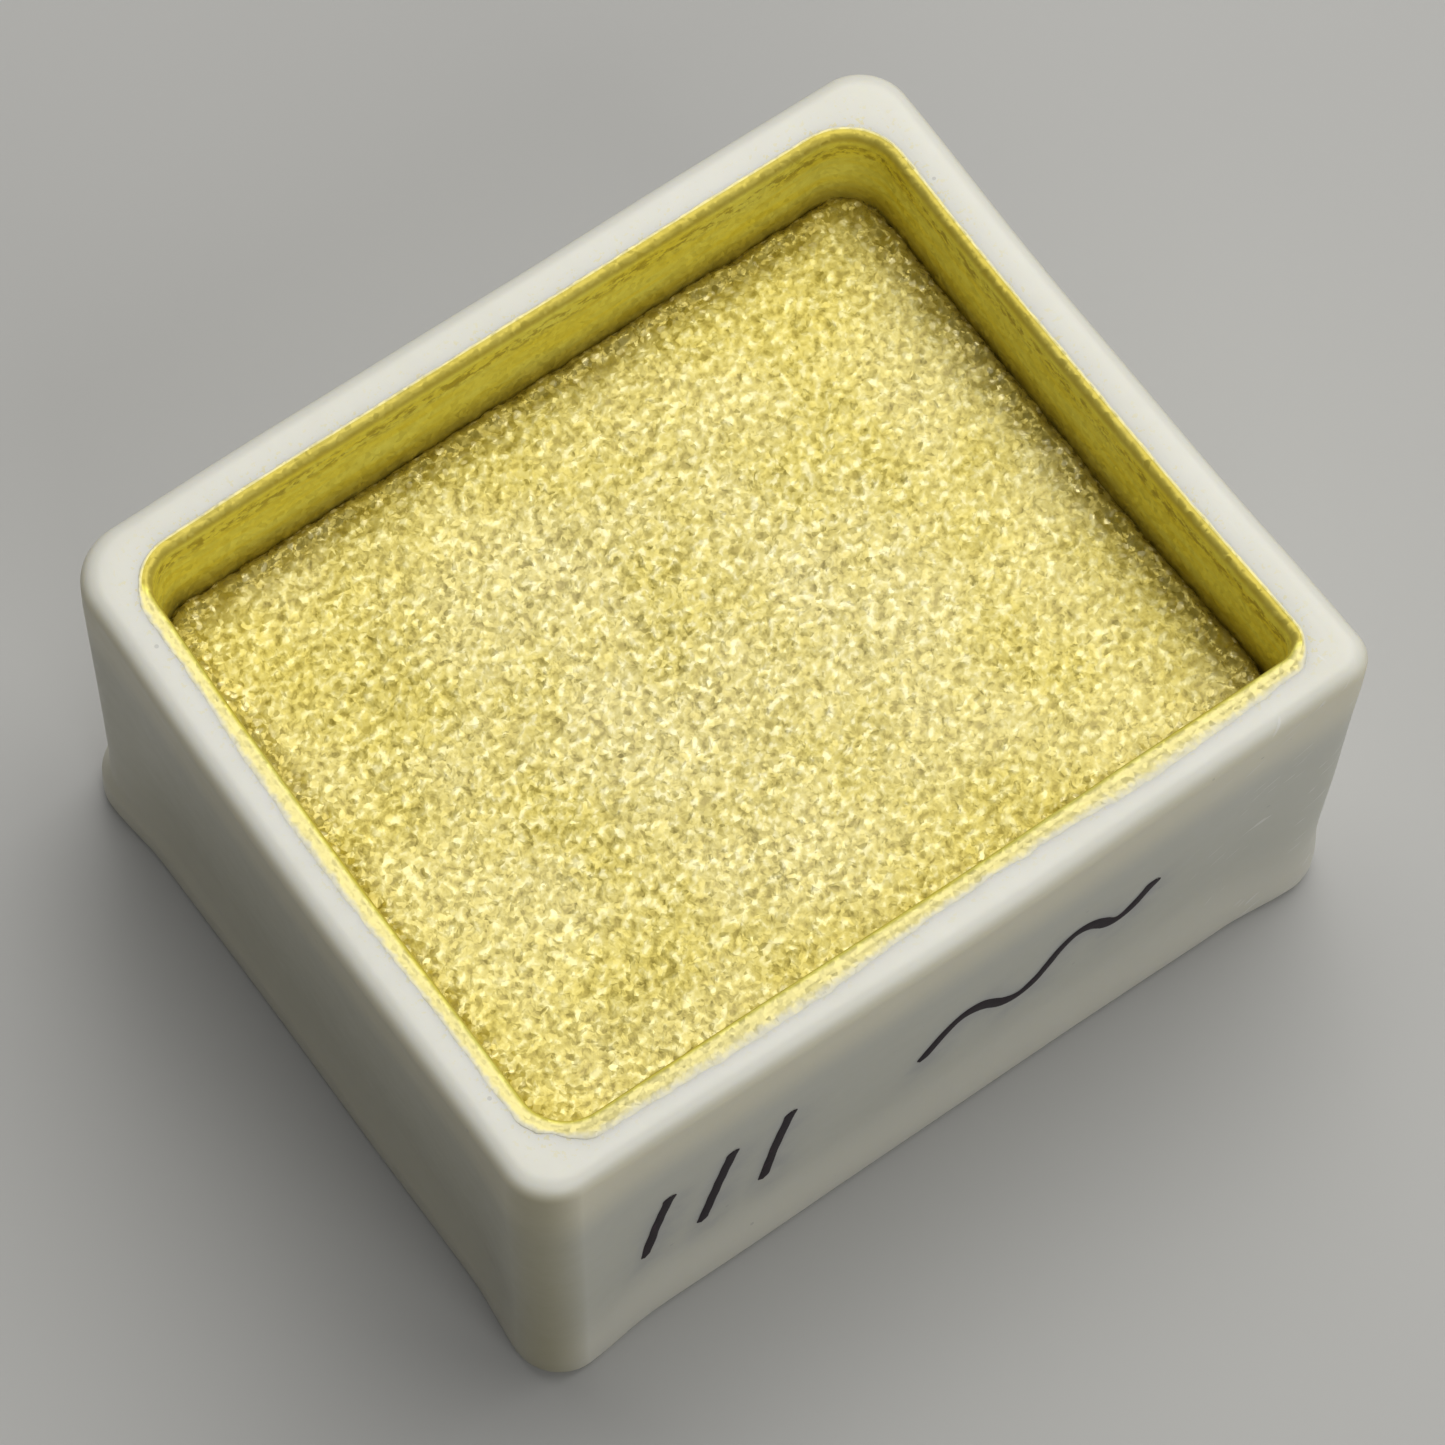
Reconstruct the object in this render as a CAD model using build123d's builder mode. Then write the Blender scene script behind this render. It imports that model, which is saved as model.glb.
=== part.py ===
from build123d import *
import os
from math import atan, degrees, radians, tan

# A watercolour half pan: a small moulded plastic tray with a cast cake of metallic paint in it.
# Millimetres, +Z up, origin in the middle of the footprint, on the plane that the pan stands on.
# +X runs along the long side.

# ---- driving dimensions: the pan ----
length = 19.0              # outside, at the rim
width = 16.0
height = 10.0
rim_width = 1.1            # flat of the rim with both its roundings
rim_corner_radius = 1.05
rim_outer_fillet = 0.4
rim_inner_fillet = 0.16
waist_height = 2.6         # where the walls are drawn in furthest
waist_inset = 0.20
base_inset = 0.10          # the skirt below the waist comes back out
skirt_height = 0.7
base_corner_radius = 1.0

cavity_corner_radius = 1.2
cavity_draft = 2.0         # degrees, each inner wall
floor_top = 1.3
floor_bevel = 0.5          # the cavity's walls meet its floor in a bevel
recess_depth = 0.5         # underside pocket, which leaves a ring to stand on
stand_ring = 1.5

panel_depth = 0.2          # shallow field in each side, between the corner posts
panel_side_angle = 40      # degrees, slope of the field's border
panel_corner_radius = 0.8
post_width = 1.7
panel_bottom = 1.6
panel_top_gap = 1.3        # from the rim's top down to the field

foot_length = 2.2          # corner feet, along X
foot_width = 2.8           # corner feet, along Y
foot_height = 0.75
foot_shoulder = 0.6        # sloping top of a foot, where it runs out into the wall
foot_corner_radius = 0.95

# ---- driving dimensions: the dried paint ----
cake_top = height - 2.1
shoulder_drop = 0.15       # the cake's edge slopes down to the wall
shoulder_width = 1.0
crown_corner_radius = 1.5
shrink_gap = 0.16          # crack between the cake and the wall
gap_depth = 0.5
film_thickness = 0.06      # skin of paint left on the walls above the cake
film_top_gap = 0.2         # bare wall between the skin and the rim's top

os.makedirs("parts", exist_ok=True)


def cavity_size(z, gap=0.0):
    """Length, width and corner radius of the cavity at height z, moved in by gap all round."""
    drawn_in = rim_width + (height - z) * tan(radians(cavity_draft)) + gap
    return length - 2 * drawn_in, width - 2 * drawn_in, cavity_corner_radius - gap


def cavity_section(z, gap=0.0):
    """Sketch of the cavity at height z."""
    long_side, short_side, radius = cavity_size(z, gap)
    with BuildSketch(Plane.XY.offset(z)) as section:
        RectangleRounded(long_side, short_side, radius)
    return section.sketch


def outer_section(z, inset, radius):
    """Sketch of the pan's outside at height z."""
    with BuildSketch(Plane.XY.offset(z)) as section:
        RectangleRounded(length - 2 * inset, width - 2 * inset, radius)
    return section.sketch


def side_plane(x, y):
    """Plane on the drafted wall that faces (x, y), its origin halfway up the sunk field."""
    reach = length / 2 if x else width / 2
    lean = waist_inset / (height - waist_height)
    middle = (panel_bottom + height - panel_top_gap) / 2
    out = reach - lean * (height - middle)
    normal = Vector(x, y, -lean)
    return Plane(origin=(x * out, y * out, middle), x_dir=(-y, x, 0), z_dir=normal)


# ---- pan: moulded tray ----
outer_profile = [
    (0.0, base_inset, base_corner_radius),
    (skirt_height, base_inset, base_corner_radius),
    (waist_height, waist_inset, rim_corner_radius),
    (height, 0.0, rim_corner_radius),
]
foot_x = length / 2 - foot_length / 2
foot_y = width / 2 - foot_width / 2
foot_taper = degrees(atan(waist_inset / foot_shoulder))
panel_height = height - panel_top_gap - panel_bottom

with BuildPart() as pan:
    for lower, upper in zip(outer_profile, outer_profile[1:]):
        loft(sections=[outer_section(*lower), outer_section(*upper)], ruled=True)

    # shallow fields between the corner posts
    for x, y in ((1, 0), (-1, 0), (0, 1), (0, -1)):
        panel_length = (width if x else length) - 2 * post_width
        with BuildSketch(side_plane(x, y)):
            RectangleRounded(panel_length, panel_height, panel_corner_radius)
        extrude(amount=-panel_depth, taper=panel_side_angle, mode=Mode.SUBTRACT)

    # corner feet: an upright pad with a sloping shoulder
    with BuildSketch(Plane.XY):
        with Locations(*[(i * foot_x, j * foot_y) for i in (-1, 1) for j in (-1, 1)]):
            RectangleRounded(foot_length, foot_width, foot_corner_radius)
    extrude(amount=foot_height)
    with BuildSketch(Plane.XY.offset(foot_height)):
        with Locations(*[(i * foot_x, j * foot_y) for i in (-1, 1) for j in (-1, 1)]):
            RectangleRounded(foot_length, foot_width, foot_corner_radius)
    extrude(amount=foot_shoulder, taper=foot_taper)

    # cavity, open at the top
    loft(
        sections=[cavity_section(floor_top, floor_bevel), cavity_section(floor_top + floor_bevel)],
        ruled=True,
        mode=Mode.SUBTRACT,
    )
    loft(
        sections=[cavity_section(floor_top + floor_bevel), cavity_section(height)],
        ruled=True,
        mode=Mode.SUBTRACT,
    )

    # pocket in the underside
    with BuildSketch(Plane.XY):
        RectangleRounded(length - 2 * stand_ring, width - 2 * stand_ring, cavity_corner_radius)
    extrude(amount=recess_depth, mode=Mode.SUBTRACT)

    # softened rim
    rim_face = pan.faces().sort_by(Axis.Z)[-1]
    fillet(rim_face.outer_wire().edges(), radius=rim_outer_fillet)
    rim_face = pan.faces().sort_by(Axis.Z)[-1]
    fillet(rim_face.inner_wires()[0].edges(), radius=rim_inner_fillet)

pan.part.label = "pan"

# ---- paint cake: fills the cavity, its crown shrunk away from the walls ----
shoulder_bottom = cake_top - shoulder_drop
gap_bottom = shoulder_bottom - gap_depth
crown_length, crown_width, _ = cavity_size(cake_top, shrink_gap + shoulder_width)

with BuildSketch(Plane.XY.offset(cake_top)) as crown_section:
    RectangleRounded(crown_length, crown_width, crown_corner_radius)

with BuildPart() as paint_cake:
    loft(
        sections=[cavity_section(floor_top, floor_bevel), cavity_section(floor_top + floor_bevel)],
        ruled=True,
    )
    loft(
        sections=[cavity_section(floor_top + floor_bevel), cavity_section(gap_bottom)],
        ruled=True,
    )
    loft(
        sections=[cavity_section(gap_bottom, shrink_gap), cavity_section(shoulder_bottom, shrink_gap)],
        ruled=True,
    )
    loft(sections=[cavity_section(shoulder_bottom, shrink_gap), crown_section.sketch], ruled=True)

paint_cake.part.label = "paint_cake"

# ---- wall film: dried skin of paint on the walls above the crack ----
film_top = height - film_top_gap

with BuildPart() as wall_film:
    loft(sections=[cavity_section(gap_bottom), cavity_section(film_top)], ruled=True)
    loft(
        sections=[cavity_section(gap_bottom, film_thickness), cavity_section(film_top, film_thickness)],
        ruled=True,
        mode=Mode.SUBTRACT,
    )

wall_film.part.label = "wall_film"

for piece in (pan, paint_cake, wall_film):
    export_step(piece.part, f"parts/{piece.part.label}.step")
    print(piece.part.label, "volume", round(piece.part.volume, 2), "mm3", piece.part.bounding_box().size)
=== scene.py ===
import math

import bpy
import numpy as np
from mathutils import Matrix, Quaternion, Vector, noise
from mathutils.bvhtree import BVHTree


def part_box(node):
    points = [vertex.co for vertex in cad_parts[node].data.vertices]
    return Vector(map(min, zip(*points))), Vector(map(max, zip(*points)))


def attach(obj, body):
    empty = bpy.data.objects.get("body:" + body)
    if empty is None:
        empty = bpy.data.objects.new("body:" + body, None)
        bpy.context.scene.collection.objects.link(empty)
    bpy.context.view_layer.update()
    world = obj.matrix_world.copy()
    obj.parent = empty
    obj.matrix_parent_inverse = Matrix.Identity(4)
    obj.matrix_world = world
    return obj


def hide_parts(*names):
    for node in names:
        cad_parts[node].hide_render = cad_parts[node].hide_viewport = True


# A watercolour half pan of off-white plastic with a cake of metallic gold paint in it.
# Lengths in this script are millimetres, and meshes are written in metres.

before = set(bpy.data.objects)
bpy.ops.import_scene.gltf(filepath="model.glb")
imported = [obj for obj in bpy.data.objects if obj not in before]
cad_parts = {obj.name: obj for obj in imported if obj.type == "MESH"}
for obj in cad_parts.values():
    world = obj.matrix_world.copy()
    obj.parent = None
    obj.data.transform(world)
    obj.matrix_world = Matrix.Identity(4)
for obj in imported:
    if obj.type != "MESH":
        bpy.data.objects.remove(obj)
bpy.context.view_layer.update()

noise.seed_set(5)          # noise_vector starts from the clock without it

MM = 0.001
pan_low, pan_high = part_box("pan")
_, cake_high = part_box("paint_cake")
film_low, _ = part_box("wall_film")

half_x = pan_high.x / MM
half_y = pan_high.y / MM
height = pan_high.z / MM
cake_top = cake_high.z / MM
gap_bottom = film_low.z / MM

# Four corner radii run in the order ++, -+, --, +-, by the signs of x and y.
RIM_WIDTH = 1.05
RIM_RADII = [1.05, 1.2, 1.0, 0.68]
RIM_FILLET = 0.36
INNER_FILLET = 0.14
RIM_BAND = 1.1             # upright band under the rim, above the sunk middle of each wall
BAND_INSET = 0.04
WAIST = 2.3                # where the middle of each wall is drawn in furthest
WAIST_INSET = 0.28
WAIST_SHARE = 0.3          # share of the way from foot radii to rim radii at the waist
SKIRT_INSET = 0.14
FOOT_RADII = [1.0] * 4
FOOT_FILLET = 0.3
WAVINESS = 0.035
WAVE_SCALE = 0.28

CAVITY_DRAFT = math.tan(math.radians(2.0))
CAVITY_RADII = [1.15, 0.85, 1.0, 0.45]
FLOOR_TOP = 1.3
FLOOR_BEVEL = 0.5
POCKET_RING = 1.5          # width of the ring that the pan stands on, round the pocket underneath
POCKET_RADII = [1.2] * 4
POCKET_DEPTH = 0.5

FILM_THICKNESS = 0.06
FILM_AT_EDGE = 0.2         # share of that thickness left where the skin turns over the rim
BURIED = 0.03              # the skin's back lies this deep in the plastic

CORNER_SEGMENTS = 14
LONG_SEGMENTS = 120
SHORT_SEGMENTS = 96


# ---------------------------------------------------------------- shapes

def smooth(t):
    """0 to 1 with flat ends."""
    t = np.clip(t, 0.0, 1.0)
    return t * t * (3 - 2 * t)


def ring(a, b, radii, sink=0.0, post=(0.9, 2.7)):
    """Points round a rectangle of half sizes a and b, from its +X+Y corner the left-hand way round.

    radii are the four corner radii in the order ++, -+, --, +-. The middle of each side lies sink deeper
    than the corner posts, and the step between them runs over post, counted from the corner.
    """
    corners = [(1, 1), (-1, 1), (-1, -1), (1, -1)]
    points = []
    for k, (sx, sy) in enumerate(corners):
        r, r_next = radii[k], radii[(k + 1) % 4]
        turn = np.radians(90 * k + np.linspace(0, 90, CORNER_SEGMENTS + 1))
        points.append(np.c_[sx * (a - r) + r * np.cos(turn), sy * (b - r) + r * np.sin(turn)])
        count = LONG_SEGMENTS if k % 2 == 0 else SHORT_SEGMENTS
        t = np.linspace(0, 1, count + 1)[1:-1]
        half, other = (a, b) if k % 2 == 0 else (b, a)
        start, end = half - r, -(half - r_next)
        along = (start + (end - start) * t) * (sx if k % 2 == 0 else sy)
        depth = other - sink * smooth((half - np.abs(along) - post[0]) / (post[1] - post[0]))
        points.append(np.c_[along, sy * depth] if k % 2 == 0 else np.c_[sx * depth, along])
    return np.vstack(points)


def facings():
    """The outward direction at each of a ring's points."""
    directions = []
    for k in range(4):
        turn = np.radians(90 * k + np.linspace(0, 90, CORNER_SEGMENTS + 1))
        directions.append(np.c_[np.cos(turn), np.sin(turn)])
        count = LONG_SEGMENTS if k % 2 == 0 else SHORT_SEGMENTS
        directions.append(np.tile(directions[-1][-1], (count - 1, 1)))
    return np.vstack(directions)


def wider(radii, by):
    """Four corner radii, each larger by the same amount."""
    return [r + by for r in radii]


def cavity_ring(z, gap=0.0):
    """The cavity's outline at height z, moved in by gap."""
    drawn_in = RIM_WIDTH + (height - z) * CAVITY_DRAFT + gap
    return ring(half_x - drawn_in, half_y - drawn_in, wider(CAVITY_RADII, -gap))


def lift(points, z):
    """Puts a ring at height z, a number or one height per point."""
    return np.c_[points, np.broadcast_to(z, len(points))]


# Moulding is never quite square. Each corner leans off its true place, by one shift at the foot and
# another at the rim, and is drawn in above its foot: (how far, from this height, over this height).
CORNERS = {
    (1, 1): {"foot": (0.0, 0.0), "rim": (-0.06, -0.04), "waist": (0.15, 0.75, 0.8)},
    (-1, 1): {"foot": (-0.11, 0.07), "rim": (0.06, -0.02), "waist": (0.13, 0.85, 0.40)},
    (-1, -1): {"foot": (-0.04, -0.07), "rim": (-0.07, 0.0), "waist": (0.10, 0.7, 1.3)},
    (1, -1): {"foot": (0.10, 0.0), "rim": (0.12, -0.05), "waist": (0.06, 0.6, 1.4)},
}
WAIST_TOP = 8.9            # the corners are back in line at this height
# The middle of each wall's rim bows in or out by this much: +X, -X, +Y, -Y.
BOWS = (-0.13, 0.10, 0.0, 0.15)


def warp(points):
    """Moves points by the corners' shifts and the walls' bows, shared out over the plan and the height."""
    x, y, z = points[:, 0] / half_x, points[:, 1] / half_y, points[:, 2] / height
    above = points[:, 2]
    back_in_line = np.clip((WAIST_TOP - above) / (WAIST_TOP - WAIST), 0, 1)
    moved = points.copy()
    for (sx, sy), corner in CORNERS.items():
        share = (1 + sx * x) * (1 + sy * y) / 4
        depth, start, rise = corner["waist"]
        waist = depth * smooth((above - start) / rise) * back_in_line
        for axis, sign in ((0, sx), (1, sy)):
            shift = corner["foot"][axis] * (1 - z) + corner["rim"][axis] * z - sign * waist
            moved[:, axis] += share * shift
    middle_x = np.cos(np.pi / 2 * np.clip(y, -1, 1)) ** 2 * z ** 2
    middle_y = np.cos(np.pi / 2 * np.clip(x, -1, 1)) ** 2 * z ** 2
    moved[:, 0] += middle_x * (BOWS[0] * np.maximum(x, 0) - BOWS[1] * np.maximum(-x, 0))
    moved[:, 1] += middle_y * (BOWS[2] * np.maximum(y, 0) - BOWS[3] * np.maximum(-y, 0) ** 6)
    return moved


def skin(rings, close_first=False, close_last=False):
    """Vertices and faces of a surface through rings of equal length."""
    count = len(rings[0])
    faces = []
    for k in range(len(rings) - 1):
        base = k * count
        for i in range(count):
            j = (i + 1) % count
            faces.append((base + i, base + j, base + count + j, base + count + i))
    if close_first:
        faces.append(tuple(reversed(range(count))))
    if close_last:
        faces.append(tuple(range((len(rings) - 1) * count, len(rings) * count)))
    return np.vstack(rings), faces


def add_mesh(name, points, faces, material, node=None):
    """A smooth-shaded piece on the root body, from millimetre points."""
    mesh = bpy.data.meshes.new(name)
    mesh.from_pydata((points * MM).tolist(), [], faces)
    mesh.validate()
    mesh.polygons.foreach_set("use_smooth", [True] * len(mesh.polygons))
    mesh.materials.append(material)
    piece = bpy.data.objects.new(name, mesh)
    bpy.context.scene.collection.objects.link(piece)
    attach(piece, "root")
    if node:
        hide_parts(node)
    return piece


def add_attribute(piece, name, values):
    """One number per vertex, for the material to read."""
    attribute = piece.data.attributes.new(name, "FLOAT", "POINT")
    attribute.data.foreach_set("value", np.asarray(values, float))


# ---------------------------------------------------------------- materials

class Shader:
    """Builds one material's nodes."""

    def __init__(self, name):
        self.material = bpy.data.materials.new(name)
        self.material.use_nodes = True
        self.nodes = self.material.node_tree.nodes
        self.links = self.material.node_tree.links
        self.surface = self.nodes["Principled BSDF"]
        place = self.add("ShaderNodeTexCoord").outputs["Object"]
        self.place = self.vector("MULTIPLY", place, (1 / MM, 1 / MM, 1 / MM))

    def add(self, kind, settings=(), inputs=()):
        node = self.nodes.new(kind)
        for key, value in dict(settings).items():
            setattr(node, key, value)
        for key, value in dict(inputs).items():
            self.put(node.inputs[key], value)
        return node

    def put(self, socket, value):
        if isinstance(value, bpy.types.NodeSocket):
            self.links.new(value, socket)
        else:
            socket.default_value = value

    def set(self, **inputs):
        for key, value in inputs.items():
            self.put(self.surface.inputs[key.replace("_", " ")], value)

    def math(self, operation, a, b, c=0.0):
        return self.add("ShaderNodeMath", {"operation": operation}, {0: a, 1: b, 2: c}).outputs[0]

    def times(self, a, b):
        return self.math("MULTIPLY", a, b)

    def one_minus(self, value):
        return self.math("SUBTRACT", 1.0, value)

    def vector(self, operation, a, b):
        return self.add("ShaderNodeVectorMath", {"operation": operation}, {0: a, 1: b}).outputs[0]

    def scaled(self, vector, scale):
        inputs = {0: vector, "Scale": scale}
        return self.add("ShaderNodeVectorMath", {"operation": "SCALE"}, inputs).outputs[0]

    def mix(self, factor, a, b, blend="MIX"):
        """Colour a at factor 0 and colour b at factor 1."""
        settings = {"data_type": "RGBA", "blend_type": blend, "clamp_factor": True}
        a, b = ((*c, 1) if isinstance(c, tuple) else c for c in (a, b))
        return self.add("ShaderNodeMix", settings, {0: factor, 6: a, 7: b}).outputs[2]

    def noise(self, place, scale, detail=2.0, roughness=0.5):
        inputs = {"Vector": place, "Scale": scale, "Detail": detail, "Roughness": roughness}
        return self.add("ShaderNodeTexNoise", {}, inputs)

    def flakes(self, place, scale):
        return self.add("ShaderNodeTexVoronoi", {}, {"Vector": place, "Scale": scale})

    def between(self, value, low, high):
        """0 below low, 1 above high, smooth in between."""
        settings = {"interpolation_type": "SMOOTHSTEP"}
        inputs = {"Value": value, "From Min": low, "From Max": high}
        return self.add("ShaderNodeMapRange", settings, inputs).outputs[0]

    def ramp(self, factor, stops):
        node = self.add("ShaderNodeValToRGB", {}, {0: factor})
        elements = node.color_ramp.elements
        while len(elements) < len(stops):
            elements.new(0.5)
        for element, (position, colour) in zip(elements, stops):
            element.position = position
            element.color = (*colour, 1)
        return node.outputs[0]

    def attribute(self, name):
        return self.add("ShaderNodeAttribute", {"attribute_name": name}).outputs["Fac"]

    def split(self, vector):
        return self.add("ShaderNodeSeparateXYZ", {}, {0: vector}).outputs

    def bump(self, heights, strength, distance):
        inputs = {"Height": heights, "Strength": strength, "Distance": distance * MM}
        return self.add("ShaderNodeBump", {}, inputs).outputs[0]

    def tilted(self, normal, random_vector, amount):
        """A normal tipped by a random vector whose parts run from 0 to 1."""
        tip = self.vector("SUBTRACT", random_vector, (0.5, 0.5, 0.5))
        tipped = self.vector("ADD", normal, self.scaled(tip, amount))
        return self.add("ShaderNodeVectorMath", {"operation": "NORMALIZE"}, {0: tipped}).outputs[0]


def plastic_material():
    s = Shader("pan_plastic")
    x, y, z = s.split(s.place)
    cloud = s.noise(s.place, 0.35, 3).outputs["Fac"]
    cream, milky = (0.83, 0.82, 0.72), (0.89, 0.88, 0.80)
    colour = s.mix(cloud, cream, milky)

    # The plastic lets a little light through, by its subsurface setting below. On top of that the outer
    # walls are painted greyer than the rim as painted shade, and painted warmer near the foot and the rim
    # as painted light.
    walls = s.attribute("outer_wall")
    grey, painted_floor_bounce, painted_rim_glow = (0.57, 0.57, 0.49), (0.90, 0.86, 0.74), (0.90, 0.85, 0.66)
    # painted shade: the outer walls darkened towards grey
    colour = s.mix(s.times(walls, 0.8), colour, grey)
    # painted light: lighter and warmer near the foot, for light bounced off the floor
    floor_bounce_mask = s.times(walls, s.one_minus(s.between(z, 0.2, 3.6)))
    colour = s.mix(s.times(floor_bounce_mask, 0.5), colour, painted_floor_bounce)
    # painted light: a warm glow under the rim, for light coming through the plastic from the gold inside
    rim_glow_mask = s.times(s.between(z, height - 3.0, height - 1.0), walls)
    colour = s.mix(s.times(rim_glow_mask, 0.8), colour, painted_rim_glow)
    stained, brown = (0.88, 0.76, 0.16), (0.33, 0.30, 0.17)
    colour = s.mix(s.attribute("inner_wall"), colour, stained)
    # painted shade on the -X wall, darkest at its front corner
    colour = s.mix(s.times(s.attribute("shaded_side"), 0.4), colour, brown)

    # a few grey specks in the moulding
    specks = s.flakes(s.place, 1.6)
    chance = s.math("GREATER_THAN", s.split(specks.outputs["Color"])[0], 0.82)
    dot = s.times(s.math("LESS_THAN", specks.outputs["Distance"], 0.07), chance)
    colour = s.mix(s.times(dot, 0.35), colour, (0.35, 0.35, 0.33))

    # ink wiped off with a thumb
    blur = s.between(s.noise(s.place, 1.3, 3, 0.6).outputs["Fac"], 0.35, 0.65)
    smear = s.times(s.attribute("smear"), s.math("MULTIPLY_ADD", blur, 0.5, 0.5))
    colour = s.mix(smear, colour, (0.30, 0.31, 0.36))

    # gold dust by the cavity's edge
    dust = s.math("GREATER_THAN", s.noise(s.place, 9.0, 2, 0.6).outputs["Fac"], 0.62)
    colour = s.mix(s.times(dust, s.attribute("near_paint")), colour, (0.85, 0.76, 0.36))

    # scratches at the right end of the front
    slant = {"Vector": s.place, "Rotation": (0, math.radians(38), 0)}
    slanted = s.vector("MULTIPLY", s.add("ShaderNodeMapping", {}, slant).outputs[0], (1.2, 1.2, 9.0))
    scratch = s.between(s.noise(slanted, 1.0, 1).outputs["Fac"], 0.68, 0.74)
    front_end = s.times(s.between(x, 5.0, 7.0), s.math("LESS_THAN", y, 1.0 - half_y))
    scratch = s.times(scratch, front_end)
    colour = s.mix(s.times(scratch, 0.5), colour, (0.95, 0.94, 0.90))

    # faint relief, with flow lines along the +X rim
    ripple = s.noise(s.place, 2.2, 2).outputs["Fac"]
    fine = s.noise(s.place, 14.0, 2).outputs["Fac"]
    flow = s.noise(s.vector("MULTIPLY", s.place, (5.0, 0.15, 2.0)), 1.0, 2).outputs["Fac"]
    flow = s.times(flow, s.between(x, half_x - 1.6, half_x - 0.9))
    heights = s.math("ADD", ripple, s.times(fine, 0.12))
    heights = s.math("ADD", heights, s.times(flow, 0.8))
    heights = s.math("SUBTRACT", heights, s.times(scratch, 0.3))

    s.set(Base_Color=colour, Roughness=s.math("ADD", s.times(ripple, 0.16), 0.30))
    s.set(Normal=s.bump(heights, 0.5, 0.02), Subsurface_Weight=0.5, Subsurface_Scale=0.7 * MM)
    s.set(Subsurface_Radius=(1.0, 0.9, 0.65))
    return s.material


def cake_material():
    s = Shader("gold_cake")
    wander = s.noise(s.place, 4.0, 2).outputs["Color"]
    place = s.vector("ADD", s.place, s.scaled(wander, 0.2))
    fine = s.flakes(place, 9.0)
    luck = s.split(fine.outputs["Color"])
    shoulder = s.attribute("shoulder")
    crumbs = s.noise(place, 8.0, 2, 0.55).outputs["Fac"]

    # the grain's tone, partly its own and partly painted light: a painted highlight on the ridges and
    # painted shade in the pits
    level = s.math("MULTIPLY_ADD", s.attribute("grain"), 0.55, 0.5)
    tone = s.math("ADD", s.times(level, 0.65), s.times(crumbs, 0.35))
    tone = s.math("ADD", tone, s.times(s.math("SUBTRACT", luck[0], 0.5), 0.12))
    gold = s.ramp(tone, [
        (0.30, (0.33, 0.26, 0.04)),
        (0.44, (0.61, 0.52, 0.14)),
        (0.56, (0.71, 0.63, 0.24)),
        (0.70, (0.95, 0.90, 0.55)),
    ])

    # wide areas of deeper and paler gold, and a paler middle
    area = s.between(s.noise(s.place, 0.28, 3, 0.6).outputs["Fac"], 0.35, 0.65)
    deep, pale = (0.62, 0.51, 0.08), (0.78, 0.70, 0.38)
    gold = s.mix(0.3, gold, s.mix(area, deep, pale))
    flat = s.vector("MULTIPLY", s.place, (1, 1.2, 0))
    from_middle = s.add("ShaderNodeVectorMath", {"operation": "LENGTH"}, {0: flat}).outputs["Value"]
    gold = s.mix(s.between(from_middle, 2.5, 9.0), gold, (1.0, 0.99, 0.84), "MULTIPLY")

    # painted shade: the slope to the wall is painted dark olive, and painted glints lie on it as bright
    # dots
    ragged = s.times(s.math("SUBTRACT", crumbs, 0.5), 1.2)
    # painted shade on the slope down to the wall
    shoulder_shade = s.between(s.math("ADD", shoulder, ragged), 0.15, 0.75)
    gold = s.mix(s.times(shoulder_shade, 0.75), gold, (0.47, 0.37, 0.05))
    # painted glints: bright dots standing in for the flakes' highlights on the slope
    glint_cells = s.flakes(place, 5.0)
    chosen = s.math("GREATER_THAN", s.split(glint_cells.outputs["Color"])[1], 0.5)
    dot = s.one_minus(s.between(glint_cells.outputs["Distance"], 0.2, 0.45))
    painted_glint = s.times(s.times(chosen, dot), s.between(shoulder, 0.05, 0.3))
    gold = s.mix(s.times(painted_glint, 0.8), gold, (1.0, 0.90, 0.46))

    # each flake lies at its own angle and has its own gloss
    tilt = s.math("MULTIPLY_ADD", shoulder, 0.45, 0.3)
    normal = s.tilted(s.bump(crumbs, 0.6, 0.03), fine.outputs["Color"], tilt)
    rough = s.math("SUBTRACT", s.math("MULTIPLY_ADD", luck[2], 0.18, 0.36), s.times(shoulder_shade, 0.12))
    s.set(Base_Color=gold, Metallic=0.38, Roughness=rough, Normal=normal)
    return s.material


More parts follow.
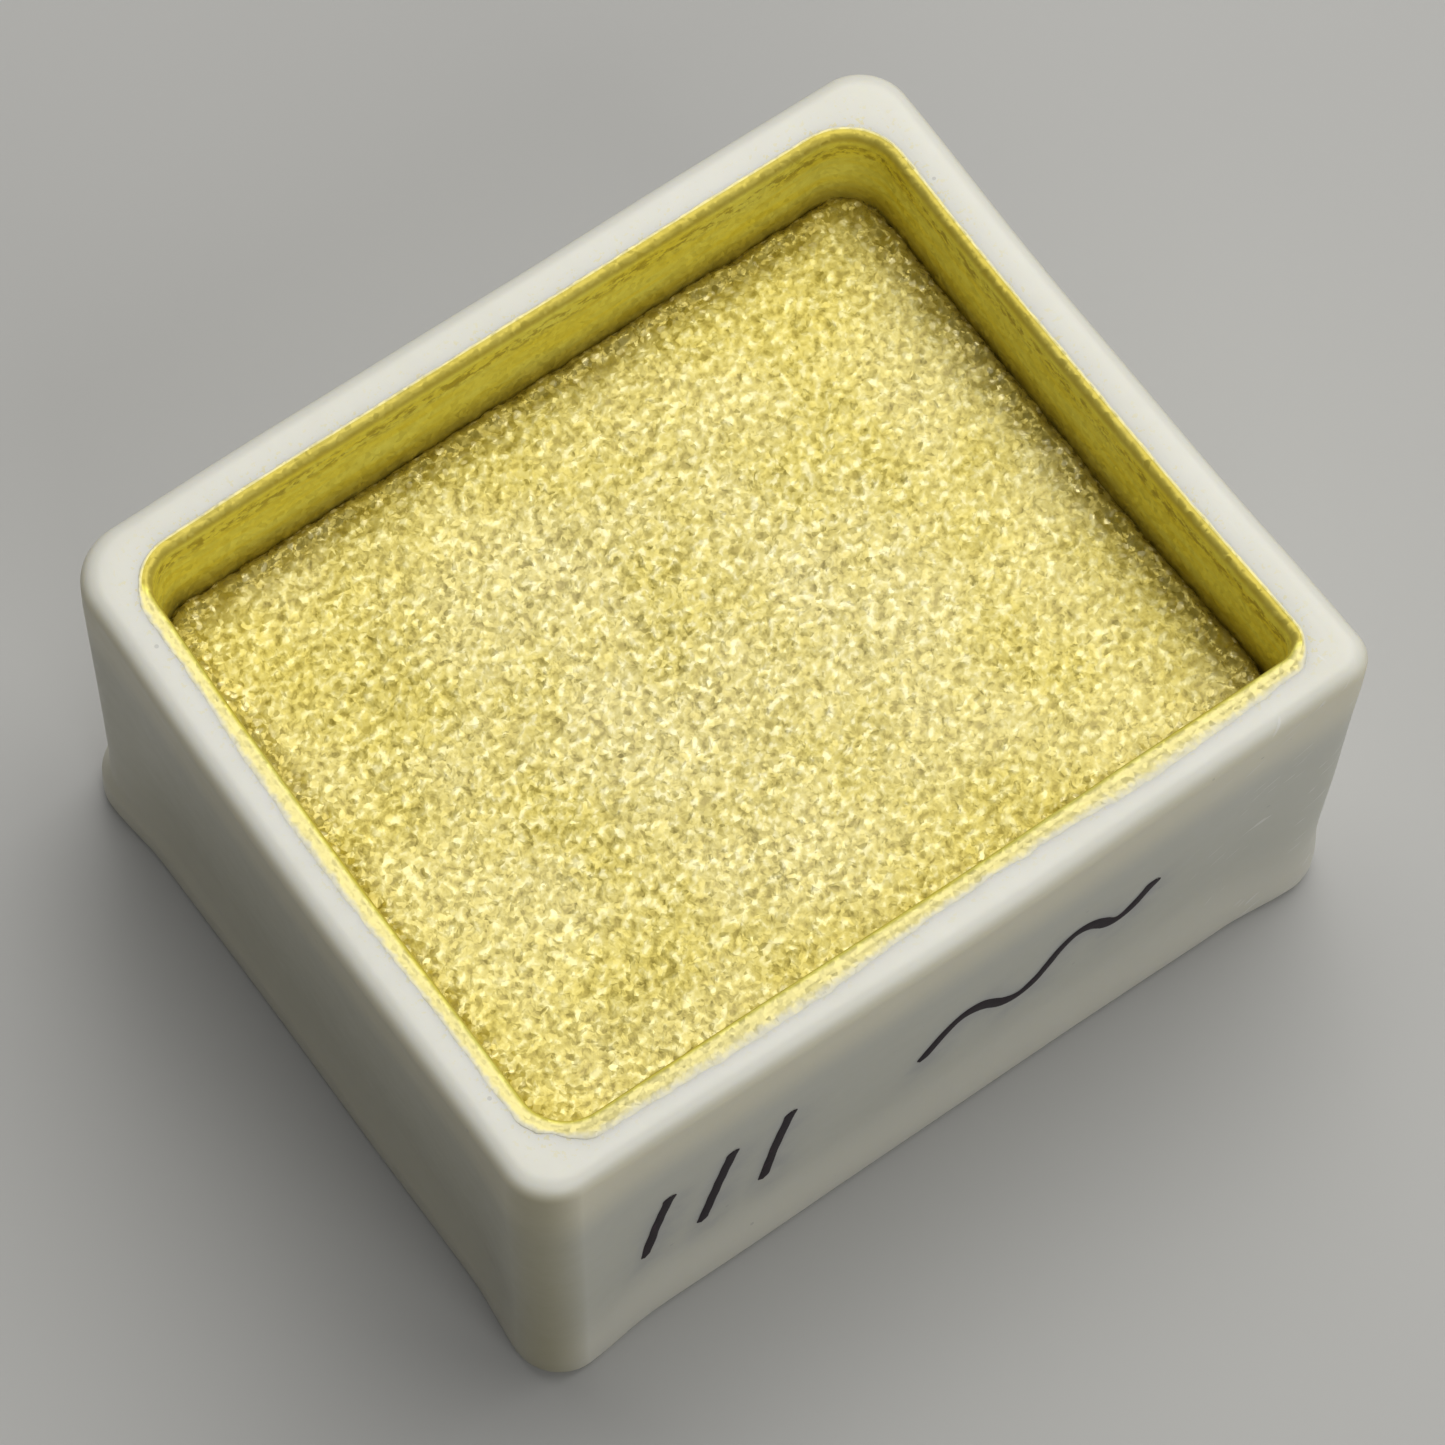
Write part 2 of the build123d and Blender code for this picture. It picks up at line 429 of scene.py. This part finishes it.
def film_material():
    s = Shader("gold_film")
    z = s.split(s.place)[2]
    stretched = s.vector("MULTIPLY", s.place, (0.35, 0.35, 3.0))
    flow = s.noise(stretched, 1.3, 3, 0.6).outputs["Fac"]
    gold = s.mix(s.between(flow, 0.3, 0.7), (1.0, 0.88, 0.09), (1.0, 0.95, 0.20))

    # brown by the cake, and in a row of spots below the rim
    low = s.one_minus(s.between(z, cake_top - 0.1, cake_top + 0.8))
    gold = s.mix(s.times(low, 0.6), gold, (0.30, 0.19, 0.005))
    band = s.times(
        s.between(z, height - 0.85, height - 0.55),
        s.one_minus(s.between(z, height - 0.42, height - 0.22)),
    )
    spots = s.noise(s.vector("MULTIPLY", s.place, (1, 1, 1.6)), 3.4, 3, 0.65).outputs["Fac"]
    spots = s.times(band, s.between(spots, 0.46, 0.60))
    gold = s.mix(s.times(spots, 0.7), gold, (0.42, 0.31, 0.02))

    # the skin is thin and brown where it turns over the edge of the two far walls
    lip = s.attribute("lip")
    turned = s.times(s.between(z, height - 0.24, height - 0.12), s.one_minus(s.between(lip, 0.04, 0.12)))
    gold = s.mix(s.times(turned, 0.8), gold, (0.55, 0.43, 0.06))

    # on the rim it is cream, and wears through to the plastic at its edge
    crumbs = s.noise(s.place, 5.0, 3, 0.6).outputs["Fac"]
    gold = s.mix(s.between(lip, 0.04, 0.35), gold, (0.86, 0.77, 0.32))
    ragged = s.times(s.math("SUBTRACT", crumbs, 0.5), 0.5)
    thin = s.between(s.math("ADD", lip, ragged), 0.6, 1.0)
    gold = s.mix(thin, gold, (0.81, 0.79, 0.64))

    grain = s.flakes(s.place, 9.0)
    heights = s.times(crumbs, s.between(lip, 0.0, 0.3))
    normal = s.tilted(s.bump(heights, 0.4, 0.04), grain.outputs["Color"], 0.32)
    metal = s.times(s.one_minus(thin), 0.4)
    s.set(Base_Color=gold, Metallic=metal, Roughness=0.5, Normal=normal)
    return s.material


def ink_material():
    s = Shader("ink")
    worn = s.noise(s.place, 5.0, 3, 0.7).outputs["Fac"]
    colour = s.mix(s.between(worn, 0.55, 0.8), (0.012, 0.004, 0.010), (0.06, 0.02, 0.045))
    s.set(Base_Color=colour, Roughness=0.6, Specular_IOR_Level=0.25)
    return s.material


def floor_material():
    s = Shader("floor")
    speckle = s.noise(s.place, 0.05, 2).outputs["Fac"]
    s.set(Base_Color=s.mix(speckle, (0.52, 0.52, 0.51), (0.56, 0.56, 0.55)), Roughness=0.8)
    return s.material


# ---------------------------------------------------------------- pan

facing = facings()
# how much a point of a ring belongs to the -X and -Y sides, where paint was wiped over the edge
wiped = np.clip(-(facing @ np.array([0.48, 0.78])) / 0.8, 0, 1)
# how far the rim's flat falls towards the cavity
rim_fall = 0.05 + 0.02 * wiped


def outer_levels():
    """(height, inset at the corners, inset at mid-side, share of the way from foot radii to rim radii)."""
    levels = []
    for turn in np.radians(np.linspace(90, 0, 6)):
        inset = FOOT_FILLET * (1 - math.cos(turn))
        levels.append((FOOT_FILLET * (1 - math.sin(turn)), inset, SKIRT_INSET + inset, 0.0))
    for z in np.linspace(FOOT_FILLET, WAIST, 20)[1:]:
        at_side = SKIRT_INSET + (WAIST_INSET - SKIRT_INSET) * smooth((z - 0.5) / (WAIST - 0.5))
        levels.append((z, 0.0, at_side, WAIST_SHARE * smooth(z / WAIST)))
    band = height - RIM_BAND
    for t in np.linspace(0, 1, 26)[1:]:
        at_side = WAIST_INSET + (BAND_INSET - WAIST_INSET) * t
        levels.append((WAIST + (band - WAIST) * t, 0.0, at_side, WAIST_SHARE + (1 - WAIST_SHARE) * t))
    for t in np.linspace(0, 1, 6)[1:]:
        z = band + (RIM_BAND - RIM_FILLET) * t
        levels.append((z, 0.0, BAND_INSET * (1 - smooth(t)), 1.0))
    return levels


def rim_top(inset):
    """The rim's height at a distance from the outer wall, one value per point of a ring."""
    t = np.clip((inset - RIM_FILLET) / (RIM_WIDTH - INNER_FILLET - RIM_FILLET), 0, 1)
    return height - rim_fall * t ** 2


def pan_rings():
    """Rings from the middle of the underside pocket, out and up over the rim, and down to the floor.

    With them come three values per point: how much it is outer wall, near the paint and inner wall.
    """
    rings, wall, paint, stained = [], [], [], []

    def add(points, z, on_wall=0.0, by_paint=0.0, inside=0.0):
        rings.append(lift(points, z))
        wall.append(np.full(len(points), on_wall))
        paint.append(np.full(len(points), by_paint))
        stained.append(np.full(len(points), inside))

    pocket = ring(half_x - POCKET_RING, half_y - POCKET_RING, POCKET_RADII)
    add(pocket * 0.97, POCKET_DEPTH)
    add(pocket, POCKET_DEPTH)
    add(pocket, 0.08)
    add(pocket * 1.008, 0.0)
    for z, at_corner, at_side, share in outer_levels():
        radii = [f + (r - f) * share for f, r in zip(FOOT_RADII, RIM_RADII)]
        add(ring(half_x - at_corner, half_y - at_corner, radii, at_side - at_corner), z, on_wall=1.0)
    for turn in np.radians(np.linspace(0, 90, 10))[1:]:
        inset = RIM_FILLET * (1 - math.cos(turn))
        on_wall = 1.0 - smooth(turn / math.radians(60))
        z = height - RIM_FILLET * (1 - math.sin(turn))
        add(ring(half_x - inset, half_y - inset, wider(RIM_RADII, -0.6 * inset)), z, on_wall)
    for t in np.linspace(0, 1, 7)[1:]:
        inset = RIM_FILLET + (RIM_WIDTH - INNER_FILLET - RIM_FILLET) * t
        radii = [r * (1 - t) + (c + INNER_FILLET) * t for r, c in zip(RIM_RADII, CAVITY_RADII)]
        add(ring(half_x - inset, half_y - inset, radii), rim_top(inset), by_paint=0.7 * t)
    for turn in np.radians(np.linspace(0, 90, 7))[1:]:
        inset = RIM_WIDTH - INNER_FILLET * (1 - math.sin(turn))
        inside = smooth(turn / math.radians(90))
        z = height - rim_fall - INNER_FILLET * (1 - math.cos(turn))
        radii = wider(CAVITY_RADII, INNER_FILLET * (1 - math.sin(turn)))
        add(ring(half_x - inset, half_y - inset, radii), z, by_paint=1.0, inside=inside)
    for z in np.linspace(height - rim_fall.max() - INNER_FILLET, FLOOR_TOP + FLOOR_BEVEL, 12)[1:]:
        add(cavity_ring(z), z, by_paint=1.0, inside=1.0)
    add(cavity_ring(FLOOR_TOP, FLOOR_BEVEL), FLOOR_TOP)
    return rings, np.concatenate(wall), np.concatenate(paint), np.concatenate(stained)


def settle(points):
    """The moulding's lean and faint waviness, which the paint inside it follows."""
    out = warp(points)
    for i, p in enumerate(points):
        wave = noise.noise_vector(Vector(p) * WAVE_SCALE)
        out[i] += np.array(wave) * (WAVINESS, WAVINESS, WAVINESS * min(p[2], 1.0))
    return out


rings, outer_wall, near_paint, inner_wall = pan_rings()
points, faces = skin(rings, close_first=True, close_last=True)
points = settle(points)
settled_low, settled_high = points.min(0), points.max(0)
box_low, box_high = np.array(pan_low) / MM, np.array(pan_high) / MM


def in_box(points):
    """Scales settled points so that the moulding fills the CAD pan's box exactly."""
    return (points - settled_low) / (settled_high - settled_low) * (box_high - box_low) + box_low


moulded = in_box(points)
pan = add_mesh("pan_moulding", moulded, faces, plastic_material(), "pan")
add_attribute(pan, "outer_wall", outer_wall)
add_attribute(pan, "near_paint", near_paint)
add_attribute(pan, "inner_wall", inner_wall)

# ink marks on the front wall, as (x, z) points: a tally and a wave
STROKES = {
    "pen_tally_1": [(-6.9, 3.0), (-6.7, 4.4), (-6.4, 5.9)],
    "pen_tally_2": [(-5.6, 2.9), (-5.3, 4.6), (-5.0, 6.2)],
    "pen_tally_3": [(-4.2, 3.1), (-4.0, 4.7), (-3.7, 6.3)],
    "pen_wave": [(-0.6, 3.9), (0.1, 5.1), (0.7, 5.1), (1.5, 3.9), (2.1, 4.1), (2.7, 5.5), (3.3, 5.5),
                 (4.0, 4.3), (4.8, 5.6)],
}
SMEAR_OFFSET = (0.15, -0.25)
SMEAR_REACH = (0.55, 0.7)
SMEAR_STRENGTH = 0.42


def smear_amounts(points):
    """How much ink was wiped over each point: clouds beside the strokes, on the front wall only."""
    x, z = points[:, 0], points[:, 2]
    amount = np.zeros(len(points))
    for path in STROKES.values():
        for (x0, z0), (x1, z1) in zip(path, path[1:]):
            for t in (0.0, 0.33, 0.67):
                dx = (x - (x0 + (x1 - x0) * t + SMEAR_OFFSET[0])) / SMEAR_REACH[0]
                dz = (z - (z0 + (z1 - z0) * t + SMEAR_OFFSET[1])) / SMEAR_REACH[1]
                amount = np.maximum(amount, np.exp(-dx ** 2 - dz ** 2))
    return SMEAR_STRENGTH * amount * (points[:, 1] < 1 - half_y)


add_attribute(pan, "smear", smear_amounts(moulded))
# painted shade: the -X wall is painted browner and darker than the others, and its front corner most of all
side_shade = np.clip(-facing[:, 0], 0, 1) ** 0.6 + 2.2 * np.clip(-facing, 0, 1).prod(1)
add_attribute(pan, "shaded_side", outer_wall * np.tile(side_shade, len(rings)))

# ---------------------------------------------------------------- wall film

EDGE_STEPS = 8
EDGE_LIFT = 0.002          # the skin on the rim clears the plastic by this much
EDGE_SINK = 0.008          # and sinks into it at its very edge


def film_rings():
    """A closed skin: up the cavity's side of the wall, over the rim's edge, and back down in the plastic.

    Its edge lies further out on the rim where paint was wiped over it, and is ragged everywhere. With
    the rings comes one value per point: 0 on the wall, 0.5 where the flat of the rim begins, and 1 at
    the outer edge.
    """
    rings, lip = [], []

    def add(points, z, on_lip):
        rings.append(lift(points, z))
        lip.append(np.broadcast_to(on_lip, len(points)).astype(float))

    top = height - rim_fall - INNER_FILLET
    for t in np.linspace(0, 1, 30):
        z = gap_bottom + (top.mean() - gap_bottom) * t
        add(cavity_ring(z, FILM_THICKNESS), gap_bottom + (top - gap_bottom) * t, 0.0)
    arc = np.radians(np.linspace(90, 0, 7))
    # the far walls' edge stays gold up to the flat of the rim
    cream = 0.08 + 0.92 * np.clip(2 * wiped, 0, 1)
    for turn in arc[1:]:
        reach = INNER_FILLET + FILM_THICKNESS * (FILM_AT_EDGE + (1 - FILM_AT_EDGE) * math.sin(turn))
        inset = RIM_WIDTH - INNER_FILLET + reach * math.sin(turn)
        radii = wider(CAVITY_RADII, INNER_FILLET - reach * math.sin(turn))
        on_lip = (0.5 - 0.5 * math.sin(turn)) * cream
        add(ring(half_x - inset, half_y - inset, radii), top + reach * math.cos(turn), on_lip)
    inset = RIM_WIDTH - INNER_FILLET
    edge = ring(half_x - inset, half_y - inset, wider(CAVITY_RADII, INNER_FILLET))
    ragged = np.array([noise.fractal(Vector((*p, 5.0)) * 2.3, 0.6, 2.0, 4) for p in edge])
    drift = np.array([noise.noise(Vector((*p, 2.0)) * 0.22) for p in edge])
    at_corner = 1 - smooth((np.abs(facing).max(1) - 0.7) / 0.3)
    spread = (0.23 + 0.16 * drift) * wiped * (1 - 0.8 * at_corner)
    overlap = 0.07 + spread + (0.015 + 0.03 * wiped) * ragged
    for t in np.linspace(0, 1, EDGE_STEPS + 1)[1:]:
        thickness = FILM_AT_EDGE * FILM_THICKNESS * (1 - t ** 3) + EDGE_LIFT - EDGE_SINK * t ** 8
        z = rim_top(inset - overlap * t) + thickness
        add(edge + facing * (overlap * t)[:, None], z, 0.5 + 0.5 * t)
    for t in np.linspace(1, 0, EDGE_STEPS + 1):
        add(edge + facing * (overlap * t)[:, None], rim_top(inset - overlap * t) - BURIED, 1.0)
    for turn in reversed(arc[:-1]):
        reach = INNER_FILLET - BURIED
        inset = RIM_WIDTH - INNER_FILLET + reach * math.sin(turn)
        radii = wider(CAVITY_RADII, INNER_FILLET - reach * math.sin(turn))
        add(ring(half_x - inset, half_y - inset, radii), top + reach * math.cos(turn), 0.5)
    add(cavity_ring(gap_bottom, -BURIED), gap_bottom, 0.0)
    return rings, np.concatenate(lip)


def tube(rings):
    """Vertices and faces of a skin whose last ring joins its first."""
    points, faces = skin(rings)
    count, last = len(rings[0]), (len(rings) - 1) * len(rings[0])
    for i in range(count):
        j = (i + 1) % count
        faces.append((last + i, last + j, j, i))
    return points, faces


rings, lip = film_rings()
points, faces = tube(rings)
film = add_mesh("wall_film_skin", in_box(settle(points)), faces, film_material(), "wall_film")
add_attribute(film, "lip", lip)

# ---------------------------------------------------------------- paint cake

GRID_STEP = 0.065
GRAIN_HEIGHT = 0.018
SWELL_HEIGHT = 0.03
CAKE_GAP = 0.04            # crack between the film and the cake
CAKE_RADIUS = 0.8
FAR_SHOULDER = 0.95        # breadth of the slope to the wall on the +X and +Y sides
NEAR_SHOULDER = 0.75       # and on the other two
SHOULDER_DROP = 0.07
CROWN_DROP = 0.06          # the crown's mean height is this far below the CAD cake's top, for its grain
RIDGE_HEIGHT = 0.10        # paint heaped up beside the far walls
RIDGE_FROM_WALL = 0.2
RIDGE_BREADTH = 0.12
EDGE_DROP = 0.04
EDGE_BREADTH = 0.08


def rounded(a, b, r, x, y):
    """Pulls points of a rectangle in to the same rectangle with round corners, leaving its middle alone."""
    m = np.maximum(np.maximum(np.abs(x) / a, np.abs(y) / b), 1e-6)
    px, py = x / m, y / m
    cx, cy = np.sign(px) * (a - r), np.sign(py) * (b - r)
    dx, dy = px - cx, py - cy
    corner = (np.abs(px) > a - r) & (np.abs(py) > b - r)
    size = np.maximum(np.hypot(dx, dy), 1e-9)
    share = smooth((m - 0.6) / 0.4) * m
    shift_x = np.where(corner, cx + r * dx / size - px, 0) * share
    shift_y = np.where(corner, cy + r * dy / size - py, 0) * share
    return x + shift_x, y + shift_y


def wall_distance(x, y, a, b, r):
    """How far points lie inside a round-cornered rectangle."""
    qx, qy = np.abs(x) - (a - r), np.abs(y) - (b - r)
    outside = np.hypot(np.maximum(qx, 0), np.maximum(qy, 0))
    return r - outside - np.minimum(np.maximum(qx, qy), 0)


def cake_mesh():
    """Vertices and faces of the cake, then two values per vertex: nearness to the wall and grain height."""
    gap = FILM_THICKNESS + CAKE_GAP
    drawn_in = RIM_WIDTH + (height - cake_top) * CAVITY_DRAFT + gap
    a, b, r = half_x - drawn_in, half_y - drawn_in, CAKE_RADIUS
    nx, ny = round(2 * a / GRID_STEP), round(2 * b / GRID_STEP)
    gx, gy = np.meshgrid(np.linspace(-a, a, nx + 1), np.linspace(-b, b, ny + 1))
    x, y = rounded(a, b, r, gx.ravel(), gy.ravel())
    inside = wall_distance(x, y, a, b, r)
    far = smooth((np.maximum(x / a, y / b) + 0.2) / 0.9)
    breadth = NEAR_SHOULDER + (FAR_SHOULDER - NEAR_SHOULDER) * far
    near = 1 - smooth(inside / breadth)
    z = np.empty(len(x))
    grain = np.empty(len(x))
    for i in range(len(x)):
        p = Vector((x[i], y[i], 0.0))
        swell = noise.fractal(p * 0.22, 1.0, 2.0, 2)
        lumps = noise.fractal(p * 2.6 + Vector((7, 3, 1)), 0.8, 2.0, 3)
        wander = noise.noise_vector(p * 2.2) * 0.10
        grain[i] = noise.noise((p + wander) * 6.5) + 0.45 * noise.noise(p * 12.0)
        z[i] = SWELL_HEIGHT * swell + GRAIN_HEIGHT * grain[i] + lumps * (0.010 + 0.07 * near[i])
    slope = -SHOULDER_DROP * near ** 1.3
    ridge = RIDGE_HEIGHT * np.exp(-((inside - RIDGE_FROM_WALL) / RIDGE_BREADTH) ** 2) * far
    edge = -EDGE_DROP * (1 - smooth(inside / EDGE_BREADTH))
    z = cake_top - CROWN_DROP + z + slope + ridge + edge
    top = np.c_[x, y, z]
    faces = []
    row = nx + 1
    for j in range(ny):
        for i in range(nx):
            k = j * row + i
            faces.append((k, k + 1, k + row + 1, k + row))
    border = list(range(nx)) + [j * row + nx for j in range(ny)]
    border += [ny * row + i for i in range(nx, 0, -1)] + [j * row for j in range(ny, 0, -1)]
    # its sides go down to the cavity's floor, out of sight
    points = [top]
    previous = border
    count = len(top)
    for z_level in (gap_bottom, gap_bottom - 0.3, FLOOR_TOP + 0.2):
        loop = top[border].copy()
        loop[:, 2] = z_level
        points.append(loop)
        current = list(range(count, count + len(border)))
        count += len(border)
        for i in range(len(border)):
            j = (i + 1) % len(border)
            faces.append((previous[j], previous[i], current[i], current[j]))
        previous = current
    faces.append(tuple(reversed(previous)))
    hidden = count - len(top)
    return np.vstack(points), faces, np.r_[near, np.ones(hidden)], np.r_[grain, np.zeros(hidden)]


points, faces, shoulder, grain = cake_mesh()
cake = add_mesh("cake", in_box(settle(points)), faces, cake_material(), "paint_cake")
add_attribute(cake, "shoulder", shoulder)
add_attribute(cake, "grain", grain)

# ---------------------------------------------------------------- pen marks

INK_WIDTH = 0.24
INK_SPREAD = 0.16          # the nib is this much wider sideways than up and down
INK_STEP = 0.05
INK_ROWS = 7               # points across a stroke
INK_DOME = 0.012
INK_LIFT = 0.002


def rounded_path(path, rounds=3):
    """The path with its corners cut."""
    for _ in range(rounds):
        cut = [path[0]]
        for p, q in zip(path, path[1:]):
            cut += [0.75 * p + 0.25 * q, 0.25 * p + 0.75 * q]
        path = np.array(cut + [path[-1]])
    return path


def pen_stroke(name, path, tree, material):
    """A domed ribbon of ink along path, laid on the front wall, with round ends and a blot at the last."""
    path = rounded_path(np.array(path, float))
    steps = np.r_[0, np.cumsum(np.hypot(*np.diff(path, axis=0).T))]
    s = np.linspace(0, steps[-1], max(6, int(steps[-1] / INK_STEP)))
    middle = np.c_[np.interp(s, steps, path[:, 0]), np.interp(s, steps, path[:, 1])]
    along = np.gradient(middle, axis=0)
    along /= np.linalg.norm(along, axis=1)[:, None]
    side = np.c_[-along[:, 1], along[:, 0]]
    rows = []
    for k, (m, n) in enumerate(zip(middle, side)):
        full = INK_WIDTH + INK_SPREAD * abs(along[k, 0])
        full *= 1.0 + 0.25 * noise.noise(Vector((m[0] * 1.7, m[1] * 1.7, len(name))))
        full *= 1.0 + 0.35 * math.exp(-((s[-1] - s[k]) / 0.25) ** 2)
        end = min(s[k], s[-1] - s[k]) / (0.5 * full)
        width = full * math.sqrt(max(0.02, 1 - (1 - min(end, 1)) ** 2))
        for t in np.linspace(-1, 1, INK_ROWS):
            x, z = m + n * t * width / 2
            hit = tree.ray_cast(Vector((x * MM, -0.03, z * MM)), Vector((0, 1, 0)))[0]
            dome = INK_DOME * (1 - t * t) + INK_LIFT
            rows.append((x, hit.y / MM - dome, z))
    faces = []
    for k in range(len(middle) - 1):
        for j in range(INK_ROWS - 1):
            i = k * INK_ROWS + j
            faces.append((i, i + INK_ROWS, i + INK_ROWS + 1, i + 1))
    return add_mesh(name, np.array(rows), faces, material)


bpy.context.view_layer.update()
tree = BVHTree.FromObject(pan, bpy.context.evaluated_depsgraph_get())
ink = ink_material()
for name, path in STROKES.items():
    pen_stroke(name, path, tree, ink)

# ---------------------------------------------------------------- stage, light and camera

FLOOR_HALF = 600 * MM
corners = [(sx * FLOOR_HALF, sy * FLOOR_HALF, 0) for sx, sy in ((-1, -1), (1, -1), (1, 1), (-1, 1))]
floor_mesh = bpy.data.meshes.new("floor")
floor_mesh.from_pydata(corners, [], [(0, 1, 2, 3)])
floor_mesh.materials.append(floor_material())
floor = bpy.data.objects.new("floor", floor_mesh)
bpy.context.scene.collection.objects.link(floor)


def soft_light(name, azimuth, elevation, distance, size, power, colour):
    """A square area light aimed at the object, in metres and watts. Azimuth runs from +X towards +Y."""
    light = bpy.data.lights.new(name, "AREA")
    light.shape = "SQUARE"
    light.size = size
    light.energy = power
    light.color = colour
    lamp = bpy.data.objects.new(name, light)
    bpy.context.scene.collection.objects.link(lamp)
    a, e = math.radians(azimuth), math.radians(elevation)
    back = Vector((math.cos(e) * math.cos(a), math.cos(e) * math.sin(a), math.sin(e)))
    lamp.location = back * distance
    lamp.rotation_mode = "QUATERNION"
    lamp.rotation_quaternion = back.to_track_quat("Z", "Y")


soft_light("key", 32, 66, 0.22, 0.20, 0.38, (1.0, 0.985, 0.95))
soft_light("fill", -97, 38, 0.25, 0.16, 0.125, (1.0, 1.0, 0.98))

world = bpy.data.worlds.new("studio")
world.use_nodes = True
background = world.node_tree.nodes["Background"]
background.inputs["Color"].default_value = (0.97, 0.98, 1.0, 1)
background.inputs["Strength"].default_value = 0.10
bpy.context.scene.world = world
bpy.context.scene.view_settings.view_transform = "Standard"

# fitted to the photo's outline of the rim and the foot
AIM = Vector((0.13, -0.18, 5.0)) * MM
AZIMUTH, ELEVATION, ROLL = (math.radians(v) for v in (-36.88, 66.12, 1.53))
DISTANCE = 128.45 * MM
FOCAL_LENGTH = 167.6

lens = bpy.data.cameras.new("camera")
lens.lens = FOCAL_LENGTH
lens.clip_start = 0.01
camera = bpy.data.objects.new("camera", lens)
bpy.context.scene.collection.objects.link(camera)
level = math.cos(ELEVATION)
back = Vector((math.sin(AZIMUTH) * level, -math.cos(AZIMUTH) * level, math.sin(ELEVATION)))
camera.location = AIM + back * DISTANCE
camera.rotation_mode = "QUATERNION"
camera.rotation_quaternion = (-back).to_track_quat("-Z", "Y") @ Quaternion((0, 0, 1), ROLL)
bpy.context.scene.camera = camera

bpy.context.view_layer.update()
